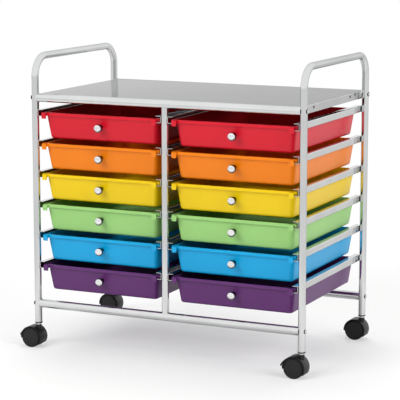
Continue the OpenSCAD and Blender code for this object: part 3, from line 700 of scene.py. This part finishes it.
def stop_tab(shell, side):
    """Tab at a front corner that meets the rail's front end, with the bridge that joins it to the rim.
    The tab's outline is drawn in a little at its two faces to soften the edges."""
    back = -DEPTH / 2 - SETBACK - TAB_GAP
    rings = [(0.5, 0), (0.15, 0.15), (0, 0.5), (0, TAB_T - 0.5), (0.15, TAB_T - 0.15), (0.5, TAB_T)]
    p = np.stack([np.column_stack([tab_outline(e), np.full(24, y)]) for e, y in rings])
    middle = (side * (WALL_HALF + TAB_OUT - TAB_W / 2), back, DRAWER_H - TAB_H / 2 - 0.2)
    shell.grid(frame_points(p, X, Z, -Y, middle))
    wide, deep = TAB_W - TAB_OUT, SETBACK + TAB_GAP + TAB_T / 2 + 1.2
    tall = RIM_H - 0.4
    rows = [[wide, tall, 0.5, y] for y in (0, deep)]
    p = rounded_rectangles(rows, 3, 0)
    start = (side * (WALL_HALF - wide / 2), back - TAB_T / 2, DRAWER_H - RIM_H + tall / 2)
    shell.grid(frame_points(p, X, Z, Y, start), flip=True)


def knob_profile():
    """Turned knob from its seat to its crown: straight neck, cone, straight head and a low dome."""
    r, length, neck = KNOB_R, KNOB_L, KNOB_NECK_R
    head = length - KNOB_HEAD_L
    return np.concatenate([
        [[0, 0], [neck, 0], [neck, head - KNOB_FLARE]],
        arc(r - 1.2, head + 1.2, 1.2, -60, 0, 5),
        arc(r - 1.2, length - 2.4, 1.2, 0, 62, 6),
        [[r - 2.4, length - 0.95], [r / 2, length - 0.3], [r / 4, length - 0.08], [0, length]],
    ])


tilt = np.arctan(FRONT_LEAN / WALL_H)
knob_out = np.array([0, -np.cos(tilt), -np.sin(tilt)])
for row, colour in enumerate(ROWS):
    for side_name, side in SIDES.items():
        base = TOP_RAIL - row * PITCH - RIM_BELOW_RAIL - DRAWER_H
        body = f"{colour}_{side_name}"
        shell = tray()
        for s in (-1, 1):
            stop_tab(shell, s)
        shell.moved((side * COLUMN_X, MID_Y, base))
        shell.build(f"{body}_tray", body, plastics[colour], [f"{colour}_drawer_{side_name}"],
                    colour + "_plastic")
        knob_z = DRAWER_H - KNOB_DROP
        seat = np.array([side * COLUMN_X, MID_Y - wall_d(knob_z) / 2, base + knob_z])
        knob = turned(Shell(), knob_profile(), X, np.cross(knob_out, X), knob_out, seat)
        screw = pan_head(head_r=4.0, head_h=2.0, shank_r=2.0, shank_l=1.0)
        turned(knob, screw, X, np.cross(-knob_out, X), -knob_out, seat - knob_out * WALL, 24)
        knob.build(f"{body}_pull", body, knob_chrome, [f"{colour}_knob_{side_name}"], "knob_metal")


# Casters

def wheel_profile():
    """Half section of a wheel from its hub face out over the tread to its outer face."""
    r, e, w = WHEEL_R, 2.2, WHEEL_W
    return np.concatenate([
        [[0, w - BORE_END], [2.55, w - BORE_END], [2.55, 0], [5.5, 0], [6.0, 0.4], [6.5, 1.5],
         [r - 4, 1.5], [r - 3.2, 0.2], [r - 3, 0]],
        arc(r - e, e, e, -90, 0, 6),
        arc(r - e, w - e, e, 0, 90, 6),
        [[r - 3.6, w], [r - 3.9, w - 0.15], [r - 4.2, w - 0.6], [r - 5.2, w - 0.75], [r - 6.4, w - 0.45],
         [6.6, w - 0.25], [6.2, w - 0.35], [5.8, w - 0.35], [5.4, w - 0.25], [1.2, w - 0.2], [0, w - 0.2]],
    ])


def wheel(x, y, side):
    place = (x, y + side * WHEEL_GAP / 2, AXLE_Z)
    return turned(Shell(), wheel_profile(), X, Z * -side, Y * side, place, 72)


def sector(shell, profile, start, end, x, y):
    """Part of a ring about the axle: the profile (radius, y) turned from one angle to another above +X.
    It takes at least four steps, of about four degrees on the longer parts."""
    steps = max(4, int(abs(end - start) / 4))
    a = np.radians(np.linspace(start, end, steps + 1))
    r, w = profile[:, 0][None, :], profile[:, 1][None, :]
    p = np.stack([x + r * np.cos(a)[:, None], y + w + 0 * a[:, None], AXLE_Z + r * np.sin(a)[:, None]], -1)
    shell.grid(p)


def ring_section(r_in, r_out, y0, y1, edge=0.4):
    """Rounded rectangle from one radius to another and from y0 to y1, as (radius, y) pairs."""
    p = rounded_profile(r_out - r_in, y1 - y0, min(edge, (r_out - r_in) / 2.1, (y1 - y0) / 2.1), 3)
    return p + [(r_in + r_out) / 2, (y0 + y1) / 2]


def hood(x, y, neck_x, braked):
    """Caster body: fender band, web between the wheels, axle boss and neck. A braked one has the
    lever's slot from SLOT_START on. Parts that follow each other overlap by a degree."""
    shell = Shell()
    half = WHEEL_GAP / 2 + WHEEL_W - 0.5
    full_end = SLOT_START if braked else FENDER_END
    sector(shell, ring_section(FENDER_R, HOOD_R, -half, half, 0.9), FENDER_START, full_end, x, y)
    if braked:
        for s in (-1, 1):
            lo, hi = sorted((s * (LEVER_W + 1) / 2, s * half))
            sector(shell, ring_section(FENDER_R, HOOD_R, lo, hi, 0.9), SLOT_START - 1, FENDER_END, x, y)
        web = ring_section(0.05, HOOD_R - 1, -WEB_HALF, WEB_HALF)
        sector(shell, web, FENDER_START, SLOT_START - 8, x, y)
        for s in (-1, 1):
            lo, hi = sorted((s * 3.3, s * WEB_HALF))
            sector(shell, ring_section(8.8, HOOD_R - 1, lo, hi), SLOT_START - 9, SLOT_START, x, y)
            sector(shell, ring_section(8.8, FENDER_R - 3, lo, hi), SLOT_START - 1, FENDER_END, x, y)
        sector(shell, ring_section(0.05, 9.0, -WEB_HALF, WEB_HALF), SLOT_START - 9, FENDER_END, x, y)
    else:
        web = ring_section(0.05, HOOD_R - 1, -WEB_HALF, WEB_HALF)
        sector(shell, web, FENDER_START, FENDER_END, x, y)
    boss = np.array([[0, -WEB_HALF], [6.6, -WEB_HALF], [7, 0.4 - WEB_HALF], [7, WEB_HALF - 0.4],
                     [6.6, WEB_HALF], [0, WEB_HALF]])
    turned(shell, boss, X, -Z, Y, (x, y, AXLE_Z), 32)
    a = np.radians(np.arange(48) * 7.5)
    foot_r = FENDER_R + 0.66
    rows = []
    for r, down in ((6.75, None), (6.75, 0.8), (6.5, 0.25), (6.0, 0.0), (3.6, 0.0), (3.6, 8.0)):
        px, py = r * np.cos(a), r * np.sin(a)
        foot = np.sqrt(foot_r ** 2 - (neck_x - x + px) ** 2) if down is None else NECK_RISE - down + 0 * a
        rows.append(np.column_stack([neck_x + px, y + py, AXLE_Z + foot]))
    shell.grid(np.stack(rows))
    return shell


def lever(x, y):
    """Brake lever: a plate along an arc from the hood's top to its tip, rounded at the tip,
    with a tongue down to the pivot and a trunnion across the fork."""
    shell = Shell()
    tip = np.array([-LEVER_REACH, 0.5])
    root = HOOD_R * np.array([np.cos(np.radians(SLOT_START + 2)), np.sin(np.radians(SLOT_START + 2))])
    chord = tip - root
    length = np.linalg.norm(chord)
    sideways = np.array([-chord[1], chord[0]])
    centre = (tip + root) / 2 + np.sqrt(LEVER_R ** 2 - (length / 2) ** 2) * sideways / length
    angle = [np.degrees(np.arctan2(*(p - centre)[::-1])) for p in (root, tip)]
    a = np.radians(np.linspace(angle[0], angle[1], 25))
    out = np.column_stack([np.cos(a), 0 * a, np.sin(a)])
    mid = np.array([x, y, AXLE_Z]) + np.column_stack([centre[0] + 0 * a, 0 * a, centre[1] + 0 * a])
    reach = (LEVER_R - LEVER_T / 2) * out
    from_tip = np.abs(np.radians(angle[1]) - a) * LEVER_R
    corner = LEVER_W / 4
    width = LEVER_W - 2 * np.where(from_tip < corner, corner - np.sqrt(
        np.maximum(0, corner ** 2 - (corner - from_tip) ** 2)), 0)
    base = rounded_profile(LEVER_T, LEVER_W, 0.9, 3)
    profile = np.repeat(base[None], len(a), 0)
    profile[..., 1] *= (width / LEVER_W)[:, None]
    shell.grid(sweep((mid + reach, out, np.tile(Y, (len(a), 1))), profile))
    tongue_at = [np.radians(angle[0] + k) for k in (2, 14)]
    p0, p1 = (centre + (LEVER_R - LEVER_T / 2) * np.array([np.cos(t), np.sin(t)]) for t in tongue_at)
    outline = np.array([LEVER_PIVOT + [3, 0], p0, p1, LEVER_PIVOT - [3, 0]])
    rows = [
        np.column_stack([x + outline[:, 0], np.full(4, y + s), AXLE_Z + outline[:, 1]]) for s in (-3, 3)
    ]
    shell.grid(np.stack(rows), flip=True)
    for r, half in ((3.0, 3.0), (1.5, 4.7)):
        pin = np.array([[0, -half], [r - 0.2, -half], [r, 0.2 - half], [r, half - 0.2], [r - 0.2, half],
                        [0, half]])
        turned(shell, pin, X, -Z, Y, (x + LEVER_PIVOT[0], y, AXLE_Z + LEVER_PIVOT[1]), 24)
    return shell


socket_profile = np.array([
    [0, 0], [8.1, 0], [8.5, 0.4], [8.5, FLANGE_H - 0.4], [8.1, FLANGE_H], [6.8, FLANGE_H], [6.8, 31.8],
    [6.0, 32.8], [0, 32.8],
])
collar_top = COLLAR_H + STEM_GAP
stem_profile = np.array([
    [0, -21], [3, -21], [3.5, -20.5], [3.5, STEM_GAP], [4.6, STEM_GAP], [5, 0.6], [5, COLLAR_H - 0.2],
    [4.6, collar_top], [3.5, collar_top], [3.5, 35.6], [2.8, 36.4], [0, 36.4],
])
sockets, stems = Shell(), Shell()
for corner, (sx, sy) in CORNERS.items():
    x, y = sx * LEG_X, sy * LEG_Y
    axle_x = x - TRAIL
    braked = sy < 0
    turned(sockets, socket_profile, X, Y, Z, (x, y, SOCKET))
    turned(stems, stem_profile, X, Y, Z, (x, y, HOOD_TOP))
    hood(axle_x, y, x, braked).build(corner + "_shell", corner + "_caster", hood_black,
                                     [corner + "_hood"], "black_plastic")
    for wheel_name, side in (("front_wheel", -1), ("rear_wheel", 1)):
        wheel(axle_x, y, side).build(f"{corner}_{wheel_name}_disc", f"{corner}_{wheel_name}", wheel_black,
                                     [f"{corner}_{wheel_name}"], "black_plastic")
    if braked:
        lever(axle_x, y).build(corner + "_pedal", corner + "_brake_lever", hood_black,
                               [corner + "_brake_lever"], "black_plastic")
sockets.build("leg_end_sockets", "frame", socket_black, ["leg_sockets"], "black_plastic")
stems.build("stem_pins", "frame", pin_steel, ["caster_stems"], "steel")

kept = {"panel_stiffeners": sheet_metal, "bar_end_plugs": bare_steel}
kept.update({corner + "_axle": bare_steel for corner in CORNERS})
for name, material in kept.items():
    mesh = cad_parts[name].data
    mesh.materials.clear()
    mesh.materials.append(material)


# Stage

def white_floor():
    """Matt floor that takes the cart's shadow. The camera sees it paler, and plain white further out.
    In the metal the far floor is a pale grey, as in a studio with its light overhead."""
    f = Finish("studio_floor")
    x, y, _ = f.axes()
    far = ((x * x + y * y) ** 0.5).smooth(0.7, 1.6)
    camera = f.node("ShaderNodeLightPath", {}, out="Is Camera Ray")
    glossy = f.node("ShaderNodeLightPath", {}, out="Is Glossy Ray")
    f.set(Base_Color=f.blend(linear((238, 238, 238)), linear((218, 218, 218)), glossy), Roughness=1.0)
    f.shader.inputs["Specular IOR Level"].default_value = 0.0
    surface = f.shader.outputs[0]
    for share, level in ((camera * (0.45 + 0.55 * far), 1.0), (glossy * far, 0.8)):
        glow = f.tree.nodes.new("ShaderNodeEmission")
        glow.inputs["Color"].default_value = (level, level, level, 1)
        mix = f.tree.nodes.new("ShaderNodeMixShader")
        f.feed(mix.inputs[0], share)
        f.tree.links.new(surface, mix.inputs[1])
        f.tree.links.new(glow.outputs[0], mix.inputs[2])
        surface = mix.outputs[0]
    f.tree.links.new(surface, f.output.inputs["Surface"])
    return f.material


def add_floor():
    half = 40.0
    corners = [(-half, -half, 0), (half, -half, 0), (half, half, 0), (-half, half, 0)]
    mesh = bpy.data.meshes.new("studio_floor")
    mesh.from_pydata(corners, [], [(0, 1, 2, 3)])
    mesh.materials.append(white_floor())
    floor = bpy.data.objects.new("studio_floor", mesh)
    bpy.context.scene.collection.objects.link(floor)


def add_world(level):
    """White for the camera, for mirrors and for glass, and a plain level for the light on the object."""
    world = bpy.data.worlds.new("studio")
    bpy.context.scene.world = world
    world.use_nodes = True
    tree = world.node_tree
    background = tree.nodes["Background"]
    path = tree.nodes.new("ShaderNodeLightPath")
    seen = path.outputs["Is Camera Ray"]
    for ray in ("Is Glossy Ray", "Is Transmission Ray"):
        either = tree.nodes.new("ShaderNodeMath")
        either.operation = "MAXIMUM"
        tree.links.new(seen, either.inputs[0])
        tree.links.new(path.outputs[ray], either.inputs[1])
        seen = either.outputs[0]
    strength = tree.nodes.new("ShaderNodeMapRange")
    strength.inputs["To Min"].default_value = level
    strength.inputs["To Max"].default_value = 1.0
    tree.links.new(seen, strength.inputs["Value"])
    tree.links.new(strength.outputs[0], background.inputs["Strength"])
    background.inputs["Color"].default_value = (1, 1, 1, 1)


def add_lamp(name, place, aim, size, power):
    """Square softbox. Metal mirrors the white studio round the cart and not the lamps."""
    lamp = bpy.data.lights.new(name, "AREA")
    lamp.shape = "SQUARE"
    lamp.size = size
    lamp.energy = power
    holder = bpy.data.objects.new(name, lamp)
    holder.location = place
    holder.rotation_euler = (Vector(aim) - Vector(place)).to_track_quat("-Z", "Y").to_euler()
    holder.visible_glossy = False
    bpy.context.scene.collection.objects.link(holder)


def add_camera():
    """Stands where the photograph was taken: a long lens, turned to the left and tipped down."""
    yaw, pitch, distance = 0.43804, 0.16679, 3.9577
    target = np.array([0.01334, 0, 0.33354])
    look = np.array([-np.sin(yaw) * np.cos(pitch), np.cos(yaw) * np.cos(pitch), -np.sin(pitch)])
    camera = bpy.data.cameras.new("photo_camera")
    camera.lens = 156.37
    camera.sensor_width = 36
    camera.clip_end = 200
    holder = bpy.data.objects.new("photo_camera", camera)
    holder.location = target - look * distance
    holder.rotation_euler = Vector(look).to_track_quat("-Z", "Y").to_euler()
    bpy.context.scene.collection.objects.link(holder)
    bpy.context.scene.camera = holder


add_floor()
add_world(0.2)
add_lamp("overhead", (-0.4, 1.1, 3.1), (0, 0, 0.3), 2.6, 80)
add_lamp("front_fill", (-1.3, -3.4, 2.7), (0, 0, 0.3), 2.4, 123)
add_lamp("side_fill", (3.5, -1.0, 2.1), (0, 0, 0.3), 2.4, 98)
add_camera()
bpy.context.scene.view_settings.view_transform = "Standard"
